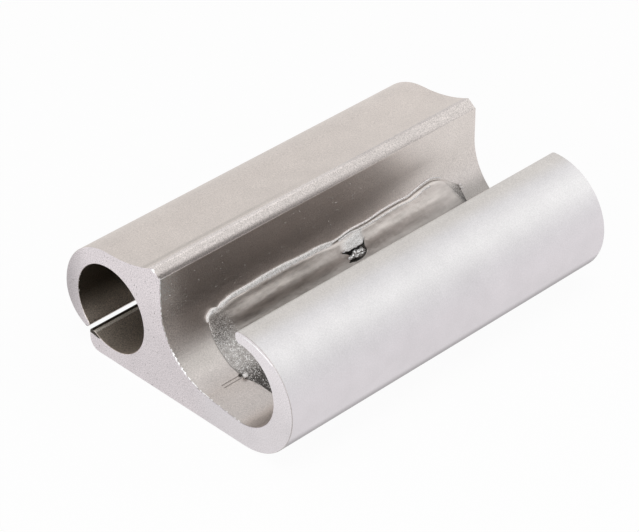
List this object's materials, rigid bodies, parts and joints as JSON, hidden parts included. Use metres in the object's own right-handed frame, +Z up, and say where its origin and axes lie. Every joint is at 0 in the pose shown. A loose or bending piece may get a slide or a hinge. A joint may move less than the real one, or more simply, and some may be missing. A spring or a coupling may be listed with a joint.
{
  "type": "compression connector",
  "caption": "Extruded run-and-tap compression connector: slit tube for the tap conductor beside an open groove with a folding lip, primed with joint compound under a film.",
  "frame": {"origin": "middle of the flat base", "axes": "+X across the section from the tap tube to the run groove, +Y along both conductors, +Z up from the flat base"},
  "size_m": [0.0731, 0.1, 0.0325],
  "materials": {
    "extruded_aluminium": "satin, as extruded, with sawn ends",
    "joint_compound": "grey gritty paste",
    "sealing_film": "thin satin film",
    "film_bead": "uneven glossy sealant"
  },
  "bodies": {
    "root": {"connector_body": "extruded_aluminium", "joint_compound": "joint_compound", "sealing_film": "sealing_film", "upper_bead": "film_bead", "back_bead": "film_bead", "compound_lump": "joint_compound"}
  },
  "joints": []
}
